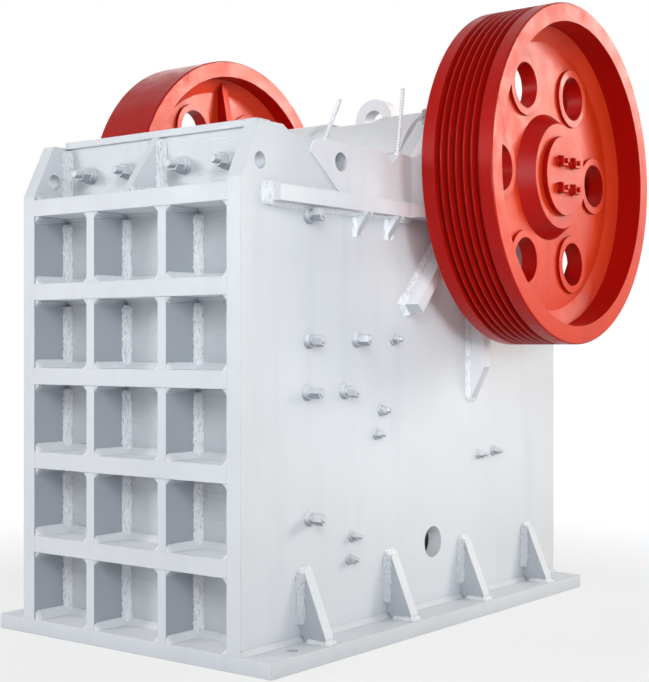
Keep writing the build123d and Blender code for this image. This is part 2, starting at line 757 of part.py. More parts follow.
# The flywheel has no grooves; its ribs sink from the hub toward the rim
with BuildPart() as flywheel:
    with BuildSketch(shaft_line):
        with BuildLine():
            Polyline(*wheel_section(-1), close=True)
        make_face()
    revolve(axis=Axis((0, axis_y, shaft_z), (1, 0, 0)))
    with BuildSketch(cross.offset(web_t - web_x)):
        with PolarLocations(hole_circle_r, hole_count):
            Circle(hole_d / 2 + boss_w)
    extrude(amount=boss_h)
    for rib in range(hole_count):
        rib_turn = radians((rib + 0.5) * 360 / hole_count)
        rib_plane = Plane(origin=(web_t - web_x, axis_y, shaft_z), x_dir=(1, 0, 0),
                          z_dir=(0, sin(rib_turn), -cos(rib_turn)))
        with BuildSketch(rib_plane):
            with BuildLine():
                Polyline((-web_t / 2, hub_r), (fly_rib_h, hub_r),
                         (fly_rib_tip, rim_inner_r + rim_t / 2), (-web_t / 2, rim_inner_r + rim_t / 2),
                         close=True)
            make_face()
        extrude(amount=fly_rib_t / 2, both=True)
    with BuildSketch(cross.offset(-web_x)):
        with PolarLocations(hole_circle_r, hole_count):
            Circle(hole_d / 2)
    extrude(amount=web_t + boss_h, mode=Mode.SUBTRACT)
flywheel.part.label = "flywheel"
export_step(flywheel.part, "parts/flywheel.step")

with BuildPart() as end_cap_right:
    with BuildSketch(cross.offset(hub_end_x)):
        Circle(cap_r)
    extrude(amount=cap_t)
end_cap_right.part.label = "end_cap_right"
export_step(end_cap_right.part, "parts/end_cap_right.step")

with BuildPart() as end_cap_left:
    mirror(end_cap_right.part, about=Plane.YZ)
end_cap_left.part.label = "end_cap_left"
export_step(end_cap_left.part, "parts/end_cap_left.step")
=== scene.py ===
# %% [markdown]
# A jaw crusher, dressed for its portrait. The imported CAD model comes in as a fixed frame: side
# plates, ribbed front, wheels and jaws are already solids of the right size. Blender adds what a
# welder, a painter and a fitter leave behind: weld beads, bolts, grease points and paint.

# %% Load the frame
import json
import math

import bmesh
import bpy
from mathutils import Matrix, Vector, noise


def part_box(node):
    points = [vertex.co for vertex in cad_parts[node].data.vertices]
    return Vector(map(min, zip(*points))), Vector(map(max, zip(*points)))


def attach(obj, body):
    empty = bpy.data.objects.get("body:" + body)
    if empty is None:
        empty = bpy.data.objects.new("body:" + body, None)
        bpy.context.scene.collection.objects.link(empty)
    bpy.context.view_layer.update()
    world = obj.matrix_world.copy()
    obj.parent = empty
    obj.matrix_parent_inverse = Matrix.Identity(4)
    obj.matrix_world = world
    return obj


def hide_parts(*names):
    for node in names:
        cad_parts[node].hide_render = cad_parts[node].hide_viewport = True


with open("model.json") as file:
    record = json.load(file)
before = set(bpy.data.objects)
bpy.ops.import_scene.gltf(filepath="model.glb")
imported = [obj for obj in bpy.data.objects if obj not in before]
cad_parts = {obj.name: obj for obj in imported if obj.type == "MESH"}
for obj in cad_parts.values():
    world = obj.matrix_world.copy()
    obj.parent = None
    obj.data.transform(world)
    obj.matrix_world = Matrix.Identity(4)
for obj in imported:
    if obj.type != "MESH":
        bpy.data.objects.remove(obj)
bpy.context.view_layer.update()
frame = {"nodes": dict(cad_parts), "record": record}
nodes = frame["nodes"]
scene = bpy.context.scene

# %% [markdown]
# The camera stands to the right of the machine and a little below its middle, level, so upright
# edges stay upright. A camera could be aimed with a track constraint, but a level camera with a
# small lens shift is how an architectural photographer keeps a machine from leaning.

# %% Camera
plate_low, plate_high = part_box("side_plate_right")
machine_front, machine_rear = plate_low.y, plate_high.y
inner, outer = plate_low.x, plate_high.x   # faces of the right side plate; the left is their mirror
plate_span = 2 * outer
eye_right, eye_back, eye_up = 3.2074, -3.1843, 1.0044   # in plate spans, from the front face
view_turn = math.radians(38.46)
lens_mm = 71.93
frame_shift = (0.0568, 0.0086)

camera_data = bpy.data.cameras.new("portrait_camera")
camera_data.lens = lens_mm
camera_data.shift_x, camera_data.shift_y = frame_shift
camera = bpy.data.objects.new("portrait_camera", camera_data)
camera.location = (eye_right * plate_span, machine_front + eye_back * plate_span, eye_up * plate_span)
camera.rotation_euler = (math.pi / 2, 0, view_turn)
scene.collection.objects.link(camera)
scene.camera = camera
print("camera at", [round(c, 3) for c in camera.location])

# %% [markdown]
# The machine stands in a white surround. A backdrop sheet could curve up behind it, but a world
# that shows white to the camera does the same with no edge. The Light Path node tells which rays
# come from the camera, a mirror or a see-through face: those meet white, and all others meet the
# weak bluish sky that fills the shadows.

# %% White surround
def new_material(name):
    """A node material and its Principled shader."""
    material = bpy.data.materials.new(name)
    material.use_nodes = True
    return material, material.node_tree, material.node_tree.nodes["Principled BSDF"]


def combine(tree, operation, first, second):
    """Two values joined by a Math node."""
    step = tree.nodes.new("ShaderNodeMath")
    step.operation = operation
    tree.links.new(first, step.inputs[0])
    tree.links.new(second, step.inputs[1])
    return step.outputs[0]


def show_white(tree, shader, surface, share=None):
    """Lets camera, mirror and see-through rays meet plain white in place of the lit shader."""
    path = tree.nodes.new("ShaderNodeLightPath")
    amount = combine(tree, "MAXIMUM", path.outputs["Is Camera Ray"], path.outputs["Is Glossy Ray"])
    amount = combine(tree, "MAXIMUM", amount, path.outputs["Is Transmission Ray"])
    if share:
        amount = combine(tree, "MULTIPLY", amount, share)
    white = tree.nodes.new("ShaderNodeEmission" if share else "ShaderNodeBackground")
    white.inputs["Strength"].default_value = 1.0
    white.inputs["Color"].default_value = (1, 1, 1, 1)
    mix = tree.nodes.new("ShaderNodeMixShader")
    tree.links.new(amount, mix.inputs[0])
    tree.links.new(shader, mix.inputs[1])
    tree.links.new(white.outputs[0], mix.inputs[2])
    tree.links.new(mix.outputs[0], surface)


sky_colour, sky_strength = (0.93, 0.96, 1.0, 1), 0.26
world = bpy.data.worlds.new("studio")
scene.world = world
world.use_nodes = True
sky = world.node_tree.nodes["Background"]
sky.inputs["Color"].default_value = sky_colour
sky.inputs["Strength"].default_value = sky_strength
show_white(world.node_tree, sky.outputs[0], world.node_tree.nodes["World Output"].inputs["Surface"])
scene.view_settings.view_transform = "Standard"
print("surround ready, sky strength", sky_strength)

# %% [markdown]
# The floor is one large pale square. Near the machine it is partly lit, so that it takes a shadow,
# and further out it turns to the white of the surround. A shadow catcher could do this too, but a
# fade by distance works in any renderer and leaves no line where floor and surround meet.

# %% Floor
floor_half, floor_drop = 60.0, 0.001
shadow_reach = (1.6, 3.2)   # the floor turns from lit to plain white between these distances
near_white = 0.72
floor_grey, floor_roughness = (0.66, 0.66, 0.67, 1), 0.8

floor_mesh = bpy.data.meshes.new("studio_floor")
corners = ((-1, -1), (1, -1), (1, 1), (-1, 1))
floor_mesh.from_pydata([(x, y, -floor_drop) for x, y in corners], [], [(0, 1, 2, 3)])
floor_mesh.transform(Matrix.Diagonal((floor_half, floor_half, 1, 1)))
floor = bpy.data.objects.new("studio_floor", floor_mesh)
scene.collection.objects.link(floor)

floor_paint, floor_tree, floor_shader = new_material("pale_floor")
floor_shader.inputs["Base Color"].default_value = floor_grey
floor_shader.inputs["Roughness"].default_value = floor_roughness
spot_on_floor = floor_tree.nodes.new("ShaderNodeTexCoord")
distance = floor_tree.nodes.new("ShaderNodeVectorMath")
distance.operation = "LENGTH"
floor_tree.links.new(spot_on_floor.outputs["Object"], distance.inputs[0])
fade = floor_tree.nodes.new("ShaderNodeMapRange")
fade.inputs["From Min"].default_value, fade.inputs["From Max"].default_value = shadow_reach
fade.inputs["To Min"].default_value = near_white
floor_tree.links.new(distance.outputs["Value"], fade.inputs["Value"])
show_white(floor_tree, floor_shader.outputs[0], floor_tree.nodes["Material Output"].inputs["Surface"],
           fade.outputs["Result"])
floor_mesh.materials.append(floor_paint)
print("floor", 2 * floor_half, "m wide")

# %% [markdown]
# Soft lamps light the machine from all round. One at the front left opens the ribbed wall, one
# beside the camera and two weak ones on the right carry the side plate. Each wheel has a lamp of
# its own, right and behind, where the flat wheel face mirrors it towards the camera: that is what
# makes the paint shine. A weak narrow beam reaches into the gap behind the near wheel, and the last
# lamp draws the far edge. Large area lamps give the soft shadows of a studio tent; a sun lamp would
# cut hard edges.

# %% Lamps
def soft_lamp(name, place, target, size, watts, tint, beam=180):
    """An area lamp at place that faces target, with a beam of so many degrees."""
    data = bpy.data.lights.new(name, "AREA")
    data.shape = "DISK"
    data.size = size
    data.energy = watts
    data.color = tint
    data.spread = math.radians(beam)
    lamp = bpy.data.objects.new(name, data)
    lamp.location = place
    lamp.rotation_euler = (Vector(target) - Vector(place)).to_track_quat("-Z", "Y").to_euler()
    scene.collection.objects.link(lamp)


machine_middle, plate_in_gap = (0, 0, 1.2), (0.54, 0.10, 1.35)
near_wheel_face, far_wheel_face = (0.2, 0.37, 1.9), (-0.85, 0.37, 2.1)
warm, narrow_beam = (1.0, 0.95, 0.86), 26
soft_lamp("key_right", (6.0, 2.6, 5.4), machine_middle, 3.0, 20, (0.96, 0.98, 1.0))
soft_lamp("front_left", (-6.0, -8.0, 3.4), machine_middle, 3.0, 380, (0.97, 0.98, 1.0))
soft_lamp("camera_side", (4.8, -6.0, 4.0), machine_middle, 3.0, 200, (0.95, 0.98, 1.0))
soft_lamp("plate_fill", (7.5, -0.6, 2.6), machine_middle, 3.0, 40, (0.95, 0.98, 1.0))
soft_lamp("wheel_sheen", (4.9, 5.6, 3.3), near_wheel_face, 2.8, 230, warm)
soft_lamp("flywheel_sheen", (3.2, 5.8, 3.6), far_wheel_face, 1.6, 8, warm, narrow_beam)
soft_lamp("wheel_gap", (5.5, -3.8, 1.7), plate_in_gap, 1.2, 3.6, (0.86, 0.97, 1.0), narrow_beam)
soft_lamp("rear_left", (-5.5, 4.0, 4.5), machine_middle, 4.0, 45, (1.0, 1.0, 1.0))

# %% [markdown]
# Paint on welded plate is never one flat colour: it has thick and thin patches, streaks and dust. An
# image could be wrapped round every piece, but noise in the object's own metres needs no unwrapping
# and keeps its size on every piece, large or small. Three small tools make it: a noise value, a
# change of range and a mix of two colours.

# %% Noise, ranges and mixes
def noise_field(tree, scale, detail=3.0, stretch=(1, 1, 1), rough=0.5):
    """A noise value from 0 to 1 in object metres, with its own stretch."""
    place = tree.nodes.new("ShaderNodeTexCoord")
    shape = tree.nodes.new("ShaderNodeMapping")
    shape.inputs["Scale"].default_value = stretch
    tree.links.new(place.outputs["Object"], shape.inputs["Vector"])
    field = tree.nodes.new("ShaderNodeTexNoise")
    field.inputs["Scale"].default_value = scale
    field.inputs["Detail"].default_value = detail
    field.inputs["Roughness"].default_value = rough
    tree.links.new(shape.outputs["Vector"], field.inputs["Vector"])
    return field.outputs["Fac"]


def spread(tree, value, low, high, to_low=0.0, to_high=1.0):
    """Maps a value's range from low..high to to_low..to_high."""
    ramp = tree.nodes.new("ShaderNodeMapRange")
    ramp.inputs["From Min"].default_value = low
    ramp.inputs["From Max"].default_value = high
    ramp.inputs["To Min"].default_value = to_low
    ramp.inputs["To Max"].default_value = to_high
    tree.links.new(value, ramp.inputs["Value"])
    return ramp.outputs["Result"]


def blend(tree, amount, first, second):
    """A colour between first and second; either may be a colour or a socket."""
    mix = tree.nodes.new("ShaderNodeMix")
    mix.data_type = "RGBA"
    tree.links.new(amount, mix.inputs["Factor"])
    for value, socket in ((first, mix.inputs["A"]), (second, mix.inputs["B"])):
        if isinstance(value, tuple):
            socket.default_value = value
        else:
            tree.links.new(value, socket)
    return mix.outputs["Result"]


print("paint tools: noise, range, mix")

# %% [markdown]
# A sprayed edge is never razor sharp and a sprayed face never quite flat. The edges could be
# bevelled in the mesh, but the CAD pieces stay untouched here, so a Bevel node rounds them in the
# shader and Bump nodes after it lay on the orange-peel skin. Corners, where little light gets in,
# are darkened as painted shade: the Ambient Occlusion node measures how far in they lie.

# %% Edges, skin and painted corner shade
edge_samples, shade_samples = 4, 6


def bump_from(tree, shader, fields, edge_round):
    """Rounds the edges, chains bumps of (height, strength, distance), and feeds the normal."""
    rounded = tree.nodes.new("ShaderNodeBevel")
    rounded.samples = edge_samples
    rounded.inputs["Radius"].default_value = edge_round
    last = rounded.outputs["Normal"]
    for height, strength, distance in fields:
        bump = tree.nodes.new("ShaderNodeBump")
        bump.inputs["Strength"].default_value = strength
        bump.inputs["Distance"].default_value = distance
        tree.links.new(height, bump.inputs["Height"])
        tree.links.new(last, bump.inputs["Normal"])
        last = bump.outputs["Normal"]
    tree.links.new(last, shader.inputs["Normal"])


def painted_corner_shade(tree, reach):
    """Painted shade: a value that grows from 0 in the open to 1 far into corners and pockets."""
    shade = tree.nodes.new("ShaderNodeAmbientOcclusion")
    shade.samples = shade_samples
    shade.inputs["Distance"].default_value = reach
    return spread(tree, shade.outputs["AO"], 0.15, 0.85, 1.0, 0.0)


print("edge and dust samples:", edge_samples, shade_samples)

# %% [markdown]
# Faces turned away from the light get a grey painted shade: one side of each pocket in the ribbed
# front, the front sides of the foot gussets, the undersides of bars. Separate materials on each face
# would need the CAD meshes cut up; the normal of a face tells which way it is turned, and a height
# keeps the pockets' painted shade off the tray above them.

# %% Faces in painted shade
# Grey of the painted shade on turned-away faces and on undersides.
painted_shade_grey = (0.25, 0.275, 0.32, 1)
tray_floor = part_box("front_beam_5")[1].z
height_blur = 0.01


def facing(tree, way):
    """How far a face is turned along X, Y or Z, from -1 to 1."""
    surface = tree.nodes.new("ShaderNodeNewGeometry")
    split = tree.nodes.new("ShaderNodeSeparateXYZ")
    tree.links.new(surface.outputs["True Normal"], split.inputs[0])
    return split.outputs[way]


def below_height(tree, height):
    """1 below a height of the machine, 0 above it."""
    place = tree.nodes.new("ShaderNodeTexCoord")
    split = tree.nodes.new("ShaderNodeSeparateXYZ")
    tree.links.new(place.outputs["Object"], split.inputs[0])
    return spread(tree, split.outputs["Z"], height - height_blur, height + height_blur, 1.0, 0.0)


def painted_side_shade(tree, colour, share, way, turned):
    """Painted shade below the tray, on faces turned along (1) or against (-1) a way."""
    side_shade_amount = spread(tree, facing(tree, way), 0.4 * turned, 0.8 * turned, 0.0, share)
    amount = combine(tree, "MULTIPLY", side_shade_amount, below_height(tree, tray_floor))
    return blend(tree, amount, colour, painted_shade_grey)


print("undercoat shows below", round(tray_floor, 3), "m")

# %% [markdown]
# The wheels are castings. Their flat faces shine; the round faces, which are the band with its
# grooves, the bores and the hubs, get a darker red as painted shade. A face is round when its normal
# does not point along the shaft. The groove flanks lean halfway, so inside the band the limit is
# shifted to count them as round.

# %% Painted shade on the wheels' round faces
wheel_low, wheel_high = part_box("sheave")
axis = Vector((0, (wheel_low.y + wheel_high.y) / 2, (wheel_low.z + wheel_high.z) / 2))
groove_reach = 0.034
groove_foot_r = wheel_high.z - axis.z - groove_reach
band_shift = 0.3


def vector_step(tree, operation, source, value=None):
    """A Vector Math node on a socket, with a fixed second value where it needs one."""
    step = tree.nodes.new("ShaderNodeVectorMath")
    step.operation = operation
    tree.links.new(source, step.inputs[0])
    if value is not None:
        step.inputs[1].default_value = value
    return step


def round_face_shade(tree):
    """1 on the round faces of a wheel (band with its grooves, bores, hubs), where the painted shade
    goes, 0 on its flat faces.
    """
    place = tree.nodes.new("ShaderNodeTexCoord")
    centred = vector_step(tree, "SUBTRACT", place.outputs["Object"], axis)
    across = vector_step(tree, "MULTIPLY", centred.outputs[0], (0, 1, 1))
    radius = vector_step(tree, "LENGTH", across.outputs[0]).outputs["Value"]
    in_band = spread(tree, radius, groove_foot_r - 0.002, groove_foot_r, 0.0, band_shift)
    flatness = tree.nodes.new("ShaderNodeMath")
    flatness.operation = "ABSOLUTE"
    tree.links.new(facing(tree, "X"), flatness.inputs[0])
    flat_face = combine(tree, "SUBTRACT", flatness.outputs[0], in_band)
    return spread(tree, flat_face, 0.66, 0.69, 1.0, 0.0)


print("shaft axis:", [round(c, 3) for c in axis], "grooves from r", round(groove_foot_r, 3))

# %% [markdown]
# Now the coat itself. It starts as two tones in soft patches, and each later step is laid over the
# last: the wheels' painted shade on round faces, dust in streaks, painted shade in corners, on faces
# turned from the light and on undersides, and a painted highlight on tops. One function with a few
# switches keeps all the paints related, as they are on the real machine.

# %% The sprayed coat
# Tone of the painted highlight on upward faces.
top_highlight_tone = (0.95, 0.96, 0.97, 1)
# The first value is how far the painted corner shade reaches; the second rounds the edges.
corner_shade_reach, paint_round = 0.09, 0.003   # metres


def sprayed_paint(name, coat, thin_coat, dust_and_shade_tone, dust_share, gloss, grain, corner_shade_share=0.0,
                  side_shade_share=0.0, side_shade_way=("X", 1), shine=0.18, round_shade_tone=None, underside_shade=0.0, top_highlight=0.0,
                  specks=0.0, cast=0.0, scuff=0.0):
    """Sprayed paint: patchy coat, dusty streaks, painted shade and highlight, and an orange-peel skin.
    """
    material, tree, shader = new_material(name)
    shader.inputs["Specular IOR Level"].default_value = shine
    patches = spread(tree, noise_field(tree, 2.2, detail=4.0), 0.35, 0.7)
    streaks = noise_field(tree, 9.0, stretch=(1, 1, 0.12))
    colour = blend(tree, patches, coat, thin_coat)
    # Painted shade: the wheels' round faces take the darker red.
    if round_shade_tone:
        colour = blend(tree, round_face_shade(tree), colour, round_shade_tone)
    colour = blend(tree, spread(tree, streaks, 0.52, 0.8, 0.0, dust_share), colour, dust_and_shade_tone)
    # Painted shade: corners and pockets darken toward the dust tone.
    if corner_shade_share:
        corner_shade_amount = spread(tree, painted_corner_shade(tree, corner_shade_reach), 0.0, 1.0, 0.0, corner_shade_share)
        colour = blend(tree, corner_shade_amount, colour, dust_and_shade_tone)
    # Painted shade on faces turned along or against a way, below the tray.
    if side_shade_share:
        colour = painted_side_shade(tree, colour, side_shade_share, *side_shade_way)
    # Painted shade: faces turned down darken toward the grey.
    if underside_shade:
        underside_shade_amount = spread(tree, facing(tree, "Z"), -0.55, 0.1, underside_shade, 0.0)
        colour = blend(tree, underside_shade_amount, colour, painted_shade_grey)
    # Painted highlight: upward faces turn paler.
    if top_highlight:
        top_highlight_amount = spread(tree, facing(tree, "Z"), 0.3, 0.9, 0.0, top_highlight)
        colour = blend(tree, top_highlight_amount, colour, top_highlight_tone)
    if specks:
        drops = noise_field(tree, 190.0, stretch=(1, 1, 0.16), rough=0.7)
        colour = blend(tree, spread(tree, drops, 0.51, 0.66, 0.0, specks), colour, dust_and_shade_tone)
    tree.links.new(colour, shader.inputs["Base Color"])
    skin = noise_field(tree, 160.0, detail=2.0)
    wave = noise_field(tree, 14.0, detail=2.0)
    roughness = spread(tree, wave, 0.3, 0.7, gloss - 0.06, gloss + 0.1)
    tree.links.new(roughness, shader.inputs["Roughness"])
    bumps = [(skin, grain, 0.002), (wave, 0.12, 0.004)]
    if cast:
        bumps.append((noise_field(tree, 42.0, detail=5.0, rough=0.62), cast, 0.004))
    if scuff:
        scuffs = noise_field(tree, 20.0, detail=6.0, stretch=(0.35, 1, 2.4), rough=0.72)
        bumps.append((scuffs, scuff, 0.012))
    bump_from(tree, shader, bumps, paint_round)
    return material


# The dust tone is also the tone of the painted corner shade.
plate_dust_and_shade = (0.40, 0.42, 0.46, 1)
plate_coat = {"coat": (0.79, 0.81, 0.84, 1), "thin_coat": (0.75, 0.77, 0.80, 1)}
on_plate = {"dust_and_shade_tone": plate_dust_and_shade, "dust_share": 0.12, "gloss": 0.42, "grain": 0.08}
frame_paint = sprayed_paint("white_plate_paint", **plate_coat, **on_plate, corner_shade_share=0.5)
print("first paint:", frame_paint.name)

# %% [markdown]
# The other paints are the same coat with other switches. The front wall is scuffed. The shelf bars,
# bearing housings, pedestals, braces and lifting eye take a paler coat, painted light that lifts
# them out of the shade, and the barrel's casting coat, slightly greyer, is painted light too. Beads
# are pale with grey flecks between their ripples; the gussets' grey beads are painted shade. The
# tops of the front beams get a painted highlight. A separate recipe for each would look no better
# and would be harder to keep in tune.

# %% All the paints
on_brightened = on_plate | {"dust_share": 0.10}
wall_paint = sprayed_paint(
    "scuffed_wall_paint", (0.88, 0.90, 0.93, 1), (0.83, 0.85, 0.88, 1), **on_plate,
    corner_shade_share=0.5, scuff=0.8)
# A paler copy of the plate paint: painted light that lifts shaded pieces.
brightened_paint = sprayed_paint(
    "brightened_white_paint", (0.93, 0.94, 0.96, 1), (0.90, 0.91, 0.93, 1), **on_brightened,
    corner_shade_share=0.25, underside_shade=0.5)
# A paler copy of the plate paint for the barrel: painted light.
brightened_casting_paint = sprayed_paint(
    "brightened_white_casting_paint", (0.87, 0.88, 0.90, 1), (0.84, 0.85, 0.87, 1), **on_brightened,
    corner_shade_share=0.3, underside_shade=0.5)
weld_paint = sprayed_paint(
    "white_weld_paint", (0.94, 0.95, 0.96, 1), (0.88, 0.89, 0.91, 1), (0.46, 0.48, 0.51, 1),
    dust_share=0.10, gloss=0.40, grain=0.9, specks=0.72)
# A darker copy of the weld paint: painted shade on the gusset beads.
painted_shade_weld_paint = sprayed_paint(
    "shaded_grey_weld_paint", (0.72, 0.74, 0.78, 1), (0.64, 0.66, 0.70, 1), (0.36, 0.38, 0.41, 1),
    dust_share=0.14, gloss=0.40, grain=0.9, specks=0.5)
wheel_paint = sprayed_paint(
    "red_wheel_paint", (0.72, 0.042, 0.006, 1), (0.64, 0.030, 0.004, 1), (0.24, 0.005, 0.002, 1),
    dust_share=0.20, gloss=0.34, grain=0.14, corner_shade_share=0.5, shine=0.17,
    round_shade_tone=(0.41, 0.0035, 0.001, 1), cast=0.30)
# The bolt paint darkens faces turned down: painted shade.
bolt_paint = sprayed_paint(
    "grey_bolt_paint", (0.82, 0.83, 0.85, 1), (0.72, 0.74, 0.77, 1), (0.30, 0.31, 0.33, 1),
    dust_share=0.20, gloss=0.32, grain=0.20, corner_shade_share=0.35, underside_shade=0.85)
# The pocket paint darkens faces turned to the right below the tray: painted shade.
pocket_side_shade_paint = sprayed_paint(
    "pocket_side_shaded_paint", **plate_coat, **on_plate, corner_shade_share=0.5, side_shade_share=0.62)
# The beam paint carries a painted highlight on its tops.
beam_top_highlight_paint = sprayed_paint("beam_top_highlight_paint", **plate_coat, **on_plate, corner_shade_share=0.5, top_highlight=0.95)
# The gusset paint darkens faces turned to the front below the tray: painted shade.
gusset_side_shade_paint = sprayed_paint(
    "gusset_side_shade_paint", (0.82, 0.84, 0.87, 1), (0.78, 0.80, 0.83, 1), **on_plate,
    corner_shade_share=0.4, side_shade_share=0.5, side_shade_way=("Y", -1))
print("paints:", [m.name for m in bpy.data.materials])

# %% [markdown]
# The jaws are manganese steel castings with no paint: dark, scuffed bright on the crests where rock
# rubs. Shaft, bearings and rods are machined steel. Both could be one grey, but a metallic shader
# with long scratches in its roughness shows which way the metal was worked.

# %% Bare metals
metal_round = 0.002


def bare_metal(name, bright, dark, roughness, scratch_stretch, grain):
    """Unpainted metal with stretched scratches and darker patches."""
    material, tree, shader = new_material(name)
    shader.inputs["Metallic"].default_value = 1.0
    patches = spread(tree, noise_field(tree, 7.0, detail=5.0), 0.3, 0.75)
    tree.links.new(blend(tree, patches, bright, dark), shader.inputs["Base Color"])
    scratches = noise_field(tree, 60.0, detail=4.0, stretch=scratch_stretch)
    tree.links.new(spread(tree, scratches, 0.2, 0.8, roughness - 0.1, roughness + 0.15),
                   shader.inputs["Roughness"])
    pits = noise_field(tree, 220.0)
    bump_from(tree, shader, [(scratches, 0.12, 0.001), (pits, grain, 0.001)], metal_round)
    return material


jaw_iron = bare_metal("manganese_jaw_iron", (0.30, 0.29, 0.28, 1), (0.16, 0.15, 0.145, 1),
                      roughness=0.52, scratch_stretch=(1, 1, 0.1), grain=0.35)
machined_steel = bare_metal("machined_steel", (0.62, 0.63, 0.65, 1), (0.45, 0.46, 0.48, 1),
                            roughness=0.34, scratch_stretch=(0.1, 1, 1), grain=0.10)
print("metals:", jaw_iron.name, machined_steel.name)

# %% [markdown]
# Each CAD piece names a slot in the record, such as frame paint or bare steel. The slot gives the
# finish, and a few pieces then get a paint of their own. Setting finishes by name in one table is
# slower to write than painting by hand, but it stays right when the pieces change.

# %% Finishes on the CAD pieces
slot_finish = {"frame_paint": frame_paint, "wheel_paint": wheel_paint, "jaw_iron": jaw_iron,
               "bare_steel": machined_steel}
node_slot = {s["node"]: s["material_slot"] for s in frame["record"]["subparts"]}
for name, node in nodes.items():
    node.data.materials.clear()
    node.data.materials.append(slot_finish[node_slot[name]])

beam_names = [f"front_beam_{n}" for n in range(1, 6)]
# Ribs, left plate and gussets get painted side shade, beams a painted highlight, and the paler paints
# are painted light.
special_paint = {"front_ribs_right": pocket_side_shade_paint, "front_ribs_left": pocket_side_shade_paint,
                 "side_plate_left": pocket_side_shade_paint, "front_wall": wall_paint,
                 "swing_jaw": brightened_casting_paint, "lifting_eye": brightened_paint}
for name in ("front_sill", *beam_names):
    special_paint[name] = beam_top_highlight_paint
for side in ("right", "left"):
    special_paint[f"foot_gussets_{side}"] = gusset_side_shade_paint
    for piece in ("bearing_housing", "pedestal", "shelf", "bearing_braces"):
        special_paint[f"{piece}_{side}"] = brightened_paint
for name, paint in special_paint.items():
    nodes[name].data.materials[0] = paint
print("finishes on", len(nodes), "CAD nodes,", len(special_paint), "with a paint of their own")

# %% [markdown]
# A fillet weld fills the corner between two plates. It could be a swept curve, but a weld is laid
# drop by drop, so its legs swell and shrink. Here each bead is a strip of cross-sections whose
# size follows noise along the run. A rough bead gets more lumps, and a ground one is hollowed.

# %% Cross-sections of a bead
ground_below = 0.1   # a bead with less roughness than this was ground smooth
ground_hollow, rough_hollow = 0.30, 0.20
ripple_step = 0.004
end_size, end_rounding = 0.72, 0.4   # size at the ends, and the legs it takes to reach full size
swell_share, lump_share, ripple_share = 0.3, 0.3, 0.6
swell_scale, lump_scale, ripple_scale = 40.0, 90.0, 240.0
streak_share = 0.55


def bead_rings(run, section_steps):
    """Cross-sections of one bead: run is (start, end, along face a, along face b, leg, rough)."""
    start, end, face_a, face_b = (Vector(v) for v in run[:4])
    leg, rough = run[4:6]
    end_share = run[6] if len(run) > 6 else 1.0   # a seventh value thins the bead toward its end
    length = (end - start).length
    along = (end - start).normalized()
    count = max(3, int(length / ripple_step))
    hollow = ground_hollow if rough < ground_below else rough_hollow
    rings = []
    for i in range(count + 1):
        place = start.lerp(end, i / count)
        from_end = min(i, count - i) * length / count
        taper = min(1.0, end_size + (1 - end_size) * from_end / (end_rounding * leg))
        swell = 1 + rough * swell_share * noise.noise(place * swell_scale)
        size = leg * taper * swell * (1 + (end_share - 1) * i / count)
        ring = [place]
        for k in range(section_steps + 1):
            turn = math.pi / 2 * k / section_steps
            out = face_a * math.cos(turn) + face_b * math.sin(turn)
            bulge = 1 - hollow * math.sin(2 * turn)
            spot = place + out * leg
            streak = spot - along * (spot.dot(along) * streak_share)
            lumps = lump_share * noise.noise(spot * lump_scale)
            ripples = ripple_share * noise.noise(streak * ripple_scale)
            ring.append(place + out * (size * bulge * (1 + rough * (lumps + ripples))))
        rings.append(ring)
    return rings


right, left, back, fore, up, down = (
    Vector(v) for v in ((1, 0, 0), (-1, 0, 0), (0, 1, 0), (0, -1, 0), (0, 0, 1), (0, 0, -1)))
print("sections in a 0.1 m bead:", len(bead_rings(((0, 0, 0), (0.1, 0, 0), up, back, 0.02, 0.3), 5)))

# %% [markdown]
# Cross-sections become a solid when neighbours are joined by faces and both ends are closed. A loft
# tool could do it, but a short loop over the rings makes a closed mesh every time. Each finished
# mesh then rides on a body of the machine and takes the material it is given.

# %% From rings to pieces
def skin_rings(mesh, rings):
    """Joins rings of points into one closed skin."""
    rings = [[mesh.verts.new(point) for point in ring] for ring in rings]
    size = len(rings[0])
    for near, far in zip(rings, rings[1:]):
        for k in range(size):
            mesh.faces.new((near[k], near[(k + 1) % size], far[(k + 1) % size], far[k]))
    mesh.faces.new(list(reversed(rings[0])))
    mesh.faces.new(rings[-1])


def finish_piece(name, mesh, body, material, smooth_angle=50):
    """Turns a bmesh into a piece that rides on a body and takes the material it is given."""
    bmesh.ops.recalc_face_normals(mesh, faces=mesh.faces)
    data = bpy.data.meshes.new(name)
    mesh.to_mesh(data)
    mesh.free()
    data.materials.append(material)
    data.shade_smooth()
    data.set_sharp_from_angle(angle=math.radians(smooth_angle))
    piece = bpy.data.objects.new(name, data)
    scene.collection.objects.link(piece)
    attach(piece, body)
    print(name, "triangles:", sum(len(p.vertices) - 2 for p in data.polygons))
    return piece


def weld_piece(name, runs, body="frame", paint=weld_paint, section_steps=5):
    """One object with all the beads in runs."""
    mesh = bmesh.new()
    for run in runs:
        skin_rings(mesh, bead_rings(run, section_steps))
    finish_piece(name, mesh, body, paint)


print("piece makers: weld_piece, finish_piece")

# %% [markdown]
# The ribbed front is a grid of pockets. In each pocket a thick rough bead fills the upright corners
# against the wall. The corners of the floor were dressed to smooth strips, made pale by the
# brightened coat as painted light, and those of the ceiling ground thin, in the pockets' painted
# side shade; where they meet a rib or a side plate they flare wide at the front. All the pockets are
# alike, so one loop over floors and bays lists every run.

